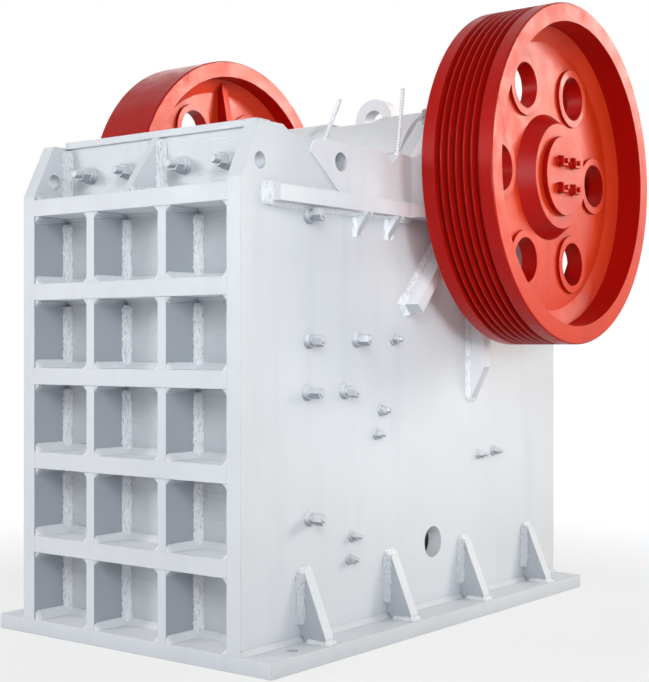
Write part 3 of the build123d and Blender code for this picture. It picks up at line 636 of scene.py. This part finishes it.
# %% Pocket welds
beams = [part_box(name) for name in beam_names]
wall_low, wall_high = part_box("front_wall")
rib_l_low, rib_l_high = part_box("front_ribs_left")
rib_r_low, rib_r_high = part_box("front_ribs_right")
wall_face = beams[0][1].y
bays = [(-inner, rib_l_low.x), (rib_l_high.x, rib_r_low.x), (rib_r_high.x, inner)]
floors = [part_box("front_sill")[1].z] + [high.z for low, high in beams[:-1]]
ceilings = [low.z for low, high in beams]
upright_leg, floor_leg, corner_leg, rib_leg, hidden_leg = 0.026, 0.024, 0.032, 0.026, 0.010
upright_rough, floor_rough, ground_rough = 0.34, 0.08, 0.06
flare_fade = 0.3        # the flares under a beam thin out toward the wall
upright_short = 0.020   # an upright bead stops this far below the ceiling
pocket_front = machine_front + 0.004

upright_runs, floor_runs, ground_runs = [], [], []
for base, top in zip(floors, ceilings):
    for x_left, x_right in bays:
        for x, inward in ((x_left, right), (x_right, left)):
            side_leg = corner_leg if abs(x) == inner else rib_leg
            upright_runs.append(((x, wall_face, base), (x, wall_face, top - upright_short),
                                 inward, fore, upright_leg, upright_rough))
            floor_runs.append(((x, pocket_front, base), (x, wall_face, base),
                               inward, up, side_leg, ground_rough))
            ground_runs.append(((x, pocket_front, top), (x, wall_face, top),
                                inward, down, side_leg, ground_rough, flare_fade))
        floor_runs.append(((x_left, wall_face, base), (x_right, wall_face, base),
                           fore, up, floor_leg, floor_rough))
        ground_runs.append(((x_left, wall_face, top), (x_right, wall_face, top),
                            fore, down, hidden_leg, ground_rough))
weld_piece("pocket_upright_welds", upright_runs, section_steps=11)
# Floor beads take the paler coat, painted light; ceiling beads take the pocket paint's painted shade.
weld_piece("pocket_floor_welds", floor_runs, paint=brightened_paint)
weld_piece("pocket_ground_welds", ground_runs, paint=pocket_side_shade_paint)

# %% [markdown]
# The top of the front is an open tray: wall at the back, a side plate at each end, one gusset in
# the middle. Every corner of it carries a bead, heavy and rough in the upright corners because a
# welder builds those up from below in several passes.

# %% Top tray welds
tray_top = wall_high.z - 0.030
tray_front = machine_front + 0.012
gusset_low, gusset_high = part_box("top_gusset")
tray_runs = [((-inner, wall_face, tray_floor), (inner, wall_face, tray_floor), fore, up, 0.022, 0.16)]
for x, inward in ((-inner, right), (gusset_low.x, left), (gusset_high.x, right), (inner, left)):
    tray_corner = (x, wall_face, tray_floor)
    tray_runs.append(((x, tray_front, tray_floor), tray_corner, inward, up, 0.024, 0.22))
    tray_runs.append((tray_corner, (x, wall_face, tray_top), inward, fore, 0.030, 0.30))
weld_piece("tray_welds", tray_runs, section_steps=7)

# %% [markdown]
# Four gussets prop each side plate on its foot plate. Thick beads, grey as painted shade, run up
# both sides of each gusset, and small ones go round its foot and top. The runs are listed for the
# right side only: a mirror at the end gives the left, so the two sides can't drift apart.

# %% Foot gusset welds
foot_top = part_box("foot_plate_right")[1].z
gussets_low, gussets_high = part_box("foot_gussets_right")
gusset_half, gusset_count = 0.024, 4
gusset_lift, gusset_toe, gusset_lap = 0.058, 0.034, 0.008
gusset_pitch = (gussets_high.y - gussets_low.y - 2 * gusset_half) / (gusset_count - 1)

gusset_runs, side_runs = [], []
for k in range(gusset_count):
    y = gussets_low.y + gusset_half + k * gusset_pitch
    for face, way in ((y - gusset_half, fore), (y + gusset_half, back)):
        gusset_runs.append(((outer, face, foot_top + gusset_lift), (outer, face, gussets_high.z),
                            right, way, 0.024, 0.36))
        side_runs.append(((outer + gusset_toe, face, foot_top), (gussets_high.x, face, foot_top),
                          way, up, 0.013, 0.34))
    first, last = y - gusset_half - gusset_lap, y + gusset_half + gusset_lap
    for x, z, leg in ((outer, gussets_high.z, 0.022), (gussets_high.x, foot_top, 0.015)):
        side_runs.append(((x, first, z), (x, last, z), right, up, leg, 0.34))
print("gusset runs:", len(gusset_runs), "small runs:", len(side_runs))

# %% [markdown]
# The shelf bar below the bearing is welded along its top and underside and has a heavy bead down
# its front end. Two small gussets under it are tacked on all round. Places come from the boxes of
# the CAD pieces, and only what a box can't tell, such as the bar's thickness, is a number here.

# %% Shelf welds
shelf_t, shelf_out, end_lap = 0.056, 0.058, 0.012
small_gusset_half, small_gusset_h = 0.015, 0.090
small_gussets_ahead = (0.811, 0.608)   # of the shaft axis
shelf_low, shelf_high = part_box("shelf_right")
shelf_top, shelf_under, shelf_front = shelf_high.z, shelf_high.z - shelf_t, shelf_low.y
housing_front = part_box("bearing_housing_right")[0].y

for z, way in ((shelf_top, up), (shelf_under, down)):
    side_runs.append(((outer, shelf_front, z), (outer, housing_front, z), right, way, 0.016, 0.22))
side_runs.append(((outer, shelf_front, shelf_under - end_lap), (outer, shelf_front, shelf_top + end_lap),
                  right, fore, 0.034, 0.26))
for ahead in small_gussets_ahead:
    middle = axis.y - ahead
    for y, way in ((middle - small_gusset_half, fore), (middle + small_gusset_half, back)):
        top_corner = (outer, y, shelf_under)
        side_runs.append(((outer, y, shelf_under - small_gusset_h), top_corner, right, way, 0.014, 0.36))
        side_runs.append((top_corner, (outer + shelf_out, y, shelf_under), down, way, 0.013, 0.34))
print("runs with the shelf:", len(side_runs))

# %% [markdown]
# Three braces spread down from the bearing and carry its load into the plate: two slanted and one
# upright. Each has a bead along both edges and one across its foot, and the slanted ones end in a
# lump on each edge where the welder stopped. With directions along and across the brace, one loop
# serves both slants.

# %% Brace welds
brace_half, brace_start, brace_end = 0.023, 0.305, 0.730   # from the shaft axis
brace_dip = math.radians(46.5)
foot_lap, lump_back, lump_past = 0.010, 0.050, 0.012
post_lap, post_start = 0.032, 0.295
root = Vector((outer, axis.y, axis.z))
for way in (-1, 1):
    along = Vector((0, way * math.cos(brace_dip), -math.sin(brace_dip)))
    across = Vector((0, math.sin(brace_dip), way * math.cos(brace_dip)))
    tip = root + along * brace_end
    foot_half = across * (brace_half + foot_lap)
    for edge in (across, -across):
        side_runs.append((root + along * brace_start + edge * brace_half, tip + edge * brace_half,
                          right, edge, 0.018, 0.32))
    side_runs.append((tip - foot_half, tip + foot_half, right, along, 0.018, 0.36))
    for edge in (across, -across):
        side_runs.append((tip - along * lump_back + edge * brace_half,
                          tip + along * lump_past + edge * brace_half, right, edge, 0.024, 0.40))

post_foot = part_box("bearing_braces_right")[0].z
for y, way in ((axis.y - brace_half, fore), (axis.y + brace_half, back)):
    side_runs.append(((outer, y, post_foot), (outer, y, axis.z - post_start), right, way, 0.016, 0.30))
side_runs.append(((outer, axis.y - post_lap, post_foot), (outer, axis.y + post_lap, post_foot),
                  right, down, 0.018, 0.34))
print("runs with the braces:", len(side_runs))

# %% [markdown]
# Two fillets on each side were dressed smooth and painted like the plate: the long one at its foot
# and the thin one down the slanted front edge of the pedestal. The rough beads become one piece a
# side, the gussets' beads in their painted shade another, and the smooth fillets of both sides a
# third.

# %% Side plate welds
def side_point(depth, height, out=0.0):
    """A point on the right side plate, out from its face; depth counts back from the front."""
    return Vector((outer + out, machine_front + depth, height))


def mirrored(run):
    """The same bead on the left of the machine."""
    return tuple(Vector((-v[0], v[1], v[2])) if isinstance(v, (tuple, Vector)) else v for v in run)


step_high, step_low = side_point(0.373, 1.771), side_point(0.552, shelf_top)
step_out = Vector((0, step_low.z - step_high.z, step_high.y - step_low.y)).normalized()
smooth_runs = [
    (side_point(0, foot_top), Vector((outer, machine_rear, foot_top)), right, up, 0.019, 0.07),
    (step_high, step_low, right, step_out, 0.006, 0.05)]

left_runs = [mirrored(run) for run in side_runs]
left_gusset_runs = [mirrored(run) for run in gusset_runs]
for side, runs, beads in (("right", side_runs, gusset_runs), ("left", left_runs, left_gusset_runs)):
    weld_piece(f"side_welds_{side}", runs)
    weld_piece(f"gusset_welds_{side}", beads, paint=painted_shade_weld_paint, section_steps=9)
weld_piece("smooth_fillets", smooth_runs + [mirrored(run) for run in smooth_runs], paint=frame_paint)

# %% [markdown]
# Behind, the rear wall closes the frame between the side plates. Its corners get plain upright and
# level beads. They could be ground flush, but nobody dresses a weld on the side that faces the
# discharge, so they stay rough.

# %% Rear welds
rear_low, rear_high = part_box("rear_wall")
sill_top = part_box("rear_sill")[1].z
inside_run = 0.20   # the bead behind the wall reaches this far down
rear_runs = [((-inner, rear_high.y, sill_top), (inner, rear_high.y, sill_top), back, up, 0.022, 0.18)]
for x, inward in ((-inner, right), (inner, left)):
    outside_top, inside_top = (x, rear_high.y, rear_high.z), (x, rear_low.y, rear_high.z)
    rear_runs.append(((x, rear_high.y, sill_top), outside_top, inward, back, 0.022, 0.28))
    rear_runs.append(((x, rear_low.y, rear_high.z - inside_run), inside_top, inward, fore, 0.018, 0.28))
    rear_runs.append((inside_top, outside_top, inward, up, 0.018, 0.28))
weld_piece("rear_welds", rear_runs)

# %% [markdown]
# The lifting eye stands on the round barrel of the swing jaw. A bead could follow the barrel's
# curve, but the eye's foot runs along the barrel, so two straight beads lie in its corners. They
# ride with the jaw, not with the frame.

# %% Eye welds
eye_low, eye_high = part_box("lifting_eye")
barrel_drop, barrel_r = 0.012, 0.312   # the barrel hangs below the shaft axis by the eccentric's throw
seat_sink, bead_share = 0.004, 0.93
bead_half = eye_high.x * bead_share
eye_runs = []
for y, way in ((eye_low.y, fore), (eye_high.y, back)):
    rise = math.sqrt(barrel_r ** 2 - (y - axis.y) ** 2)
    seat_z = axis.z - barrel_drop + rise - seat_sink
    eye_runs.append(((-bead_half, y, seat_z), (bead_half, y, seat_z), way, up, 0.018, 0.34))
weld_piece("eye_welds", eye_runs, body="jaw")

# %% [markdown]
# Bolts hold the cheek plates and liners from outside. Each is a stack of turned shapes on one axis:
# domed washer, collar, hexagon nut, stud end. A lathe profile spun with 32 sides is round, and the
# same profile spun with 6 sides is a hexagon, so one function makes them all.

# %% Side bolts
hexagon = 6


def turned(mesh, place, axis_way, profile, sides, twist=0.0):
    """Spins a profile of (along, radius) round an axis through place, closed at both ends."""
    turn = axis_way.to_track_quat("Z", "Y").to_matrix()
    angles = [twist + 2 * math.pi * k / sides for k in range(sides)]
    skin_rings(mesh, [[place + turn @ Vector((radius * math.cos(a), radius * math.sin(a), along))
                       for a in angles] for along, radius in profile])


def bolt_stack(mesh, place, way, stack, twist):
    """All the (profile, sides) of a bolt on one axis; only the hexagon is twisted."""
    for profile, sides in stack:
        turned(mesh, place, way, profile, sides, twist if sides == hexagon else 0.0)


big_bolt = [   # domed washer, collar, nut, stud end
    ([(-0.004, 0.029), (0.005, 0.029), (0.010, 0.0275), (0.015, 0.023)], 32),
    ([(0.011, 0.0185), (0.032, 0.0185)], 32),
    ([(0.028, 0.0205), (0.031, 0.0225), (0.062, 0.0225), (0.066, 0.0205)], hexagon),
    ([(0.062, 0.0125), (0.069, 0.0125), (0.071, 0.0105)], 24)]
small_bolt = [   # washer, nut, stud end
    ([(-0.004, 0.022), (0.005, 0.022), (0.007, 0.020)], 28),
    ([(0.005, 0.0150), (0.008, 0.0168), (0.028, 0.0168), (0.031, 0.0148)], hexagon),
    ([(0.028, 0.0092), (0.044, 0.0092), (0.047, 0.0074)], 20)]
big_places = [   # depth and height on the plate
    (0.371, 1.546), (0.372, 1.107), (0.660, 1.111), (0.362, 0.923), (0.583, 0.923), (0.373, 0.481)]
small_places = [(0.902, 1.113), (0.821, 0.845), (0.788, 0.758), (0.633, 0.390), (0.615, 0.308),
                (1.539, 0.637), (1.664, 0.643)]
side_twist, bolt_edge = 0.7, 30   # each nut is turned on from the last; edges sharper than this stay
for side, way in (("right", right), ("left", left)):
    bolts = bmesh.new()
    for stack, places in ((big_bolt, big_places), (small_bolt, small_places)):
        for n, (depth, height) in enumerate(places):
            spot = side_point(depth, height)
            spot.x *= way.x
            bolt_stack(bolts, spot, way, stack, side_twist * n)
    finish_piece(f"side_bolts_{side}", bolts, "frame", bolt_paint, bolt_edge)

# %% [markdown]
# Four long bolts come through the front wall and hold the fixed jaw. They carry a stack of coned
# washers that keep the tension when the jaw beds in. They are the same kind of stack as the side
# bolts, with a longer stud end.

# %% Jaw bolts in the tray
jaw_bolt = [   # two coned washers, thick nut, long stud end
    ([(-0.004, 0.032), (0.010, 0.032), (0.016, 0.026)], 36),
    ([(0.012, 0.027), (0.017, 0.031), (0.026, 0.031), (0.031, 0.026)], 36),
    ([(0.027, 0.0240), (0.030, 0.0266), (0.058, 0.0266), (0.062, 0.0240)], hexagon),
    ([(0.058, 0.0150), (0.088, 0.0150), (0.092, 0.0122)], 28)]
jaw_bolt_xs, jaw_bolt_z, jaw_twist = (-0.346, -0.135, 0.135, 0.346), 1.735, 0.5
bolts = bmesh.new()
for n, x in enumerate(jaw_bolt_xs):
    bolt_stack(bolts, Vector((x, wall_face, jaw_bolt_z)), fore, jaw_bolt, jaw_twist * n)
finish_piece("jaw_bolts", bolts, "frame", bolt_paint, bolt_edge)

# %% [markdown]
# The end caps keep the wheels on the shaft. Four square-headed bolts draw each cap tight. A profile
# spun with 4 sides is a square head. They turn with the rotor, and the painter has covered them
# together with the wheel.

# %% Cap bolts
head_side, head_height, bolt_offset = 0.040, 0.026, 0.0525


def square_bolt(mesh, place, way, side_length, height):
    """A square head on a round washer face, with a stud end."""
    half = side_length / math.sqrt(2)
    washer_r, washer_top_r = side_length * 0.62, side_length * 0.58
    stud_r, stud_top_r = side_length * 0.25, side_length * 0.19
    turned(mesh, place, way, [(-0.004, washer_r), (0.004, washer_r), (0.006, washer_top_r)], 28)
    turned(mesh, place, way,
           [(0.004, half * 0.93), (0.007, half), (height - 0.004, half), (height, half * 0.90)],
           4, math.pi / 4)
    turned(mesh, place, way,
           [(height - 0.003, stud_r), (height + 0.010, stud_r), (height + 0.013, stud_top_r)], 20)


for side, way in (("right", right), ("left", left)):
    cap_low, cap_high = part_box(f"end_cap_{side}")
    face_x = cap_high.x if way.x > 0 else cap_low.x
    heads = bmesh.new()
    for across in (-bolt_offset, bolt_offset):
        for rise in (-bolt_offset, bolt_offset):
            spot = Vector((face_x, axis.y + across, axis.z + rise))
            square_bolt(heads, spot, way, head_side, head_height)
    finish_piece(f"cap_bolts_{side}", heads, "rotor", wheel_paint, bolt_edge)

# %% [markdown]
# A grease cup stands on the shoulder of each bearing housing: a hexagon foot that takes the spanner,
# a neck and a screwed cap with a domed top. It is a stack on one axis again, as the bolts are, in
# the grey green that marks a grease point.

# %% Grease cups
cup_green = sprayed_paint(
    "grey_green_cup_paint", (0.42, 0.53, 0.47, 1), (0.36, 0.46, 0.41, 1), (0.22, 0.26, 0.24, 1),
    dust_share=0.25, gloss=0.36, grain=0.12, corner_shade_share=0.5)
grease_cup = [   # foot, neck, cap
    ([(-0.012, 0.0150), (0.010, 0.0150), (0.013, 0.0135)], hexagon),
    ([(0.009, 0.0085), (0.022, 0.0085)], 24),
    ([(0.018, 0.0135), (0.020, 0.0150), (0.042, 0.0150), (0.049, 0.0125), (0.053, 0.0070)], 28)]
cup_depth, cup_in, cup_seat, cup_edge = 1.162, 0.020, 1.980, 40
for side, way in (("right", right), ("left", left)):
    cup = bmesh.new()
    spot = side_point(cup_depth, cup_seat, -cup_in)
    spot.x *= way.x
    bolt_stack(cup, spot, up, grease_cup, 0.0)
    finish_piece(f"grease_cup_{side}", cup, "frame", cup_green, cup_edge)

# %% [markdown]
# Two bits of ribbed reinforcing bar stand on the right side plate as makeshift lifting aids. A bar's
# ribs wind round it like a coarse thread. They could be a bump in the shader, but a bar shows
# against the sky, where only real ribs change the outline. The plain CAD rods carry the place, and
# these ribbed ones stand for them.

# %% Bar stubs
bar_sides, bar_step, rib_pitch = 24, 0.0018, 0.011
rib_height, seam_height, rib_fullness = 0.0014, 0.0010, 0.7


def ribbed_bar(mesh, foot, way, length, radius):
    """A bar with slanted ribs and one seam on each side."""
    turn = way.to_track_quat("Z", "Y").to_matrix()
    count = int(length / bar_step)
    rings = []
    for i in range(count + 1):
        along = length * i / count
        ring = []
        for k in range(bar_sides):
            angle = 2 * math.pi * k / bar_sides
            slant = angle if angle < math.pi else 2 * math.pi - angle
            wave = math.cos(2 * math.pi * along / rib_pitch + slant)
            rib = rib_height * max(0.0, wave) ** rib_fullness
            seam = seam_height if k in (0, bar_sides // 2) else 0.0
            spot = Vector((math.cos(angle), math.sin(angle), 0)) * (radius + max(rib, seam) - rib_height)
            ring.append(foot + turn @ (spot + Vector((0, 0, along))))
        rings.append(ring)
    skin_rings(mesh, rings)


stub_foot_z, stub_in, stub_r, stub_edge = 1.825, 0.008, 0.0085, 40
stub_bead = [(-0.003, 0.016), (0.004, 0.0145), (0.011, 0.0095)]
bars = bmesh.new()
for depth, lean_degrees, length in ((0.474, 31, 0.186), (0.946, 8, 0.264)):
    lean = math.radians(lean_degrees)
    stub_foot = Vector((outer - stub_in, machine_front + depth, stub_foot_z))
    ribbed_bar(bars, stub_foot, Vector((0, math.sin(lean), math.cos(lean))), length, stub_r)
    turned(bars, stub_foot, up, stub_bead, 20)
stubs = finish_piece("ribbed_bar_stubs", bars, "frame", brightened_paint, stub_edge)
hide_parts("bar_stubs")
